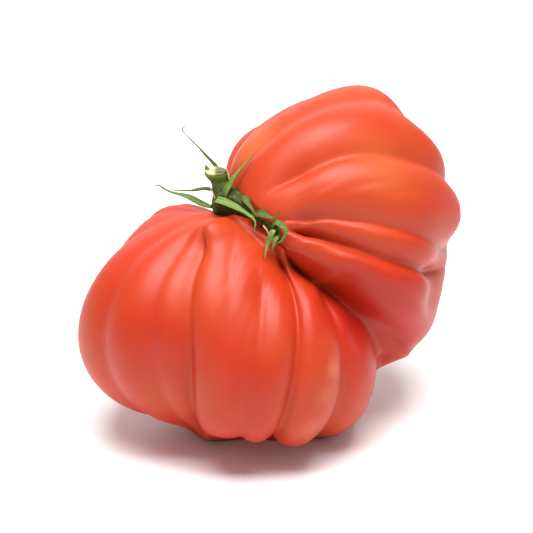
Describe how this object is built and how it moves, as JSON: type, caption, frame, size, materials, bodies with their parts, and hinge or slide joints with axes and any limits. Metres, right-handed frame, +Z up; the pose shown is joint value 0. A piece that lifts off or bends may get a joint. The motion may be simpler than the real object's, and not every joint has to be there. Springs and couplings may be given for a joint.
{
  "type": "ribbed tomato",
  "caption": "Large ribbed beefsteak tomato of two lobes with a deep cleft, green calyx and cut stalk, lying on the cheek of one lobe on a small flat spot.",
  "frame": {"origin": "middle of the small flat spot that the fruit rests on, at the height of the surface", "axes": "+Z up, +X from the lower left lobe towards the raised right lobe, the deep cleft faces -Y, and the stem axis leans to -X"},
  "size_m": [0.1069, 0.0904, 0.0924],
  "materials": {
    "skin": "satin red skin, paler on the ribs and deeper red in the creases",
    "calyx_green": "matt green, finely hairy, with brown dry tips",
    "stalk_green": "matt green, with a pale dry cut end"
  },
  "bodies": {
    "root": {"fruit": "skin", "calyx": "calyx_green", "stalk": "stalk_green"}
  },
  "joints": []
}
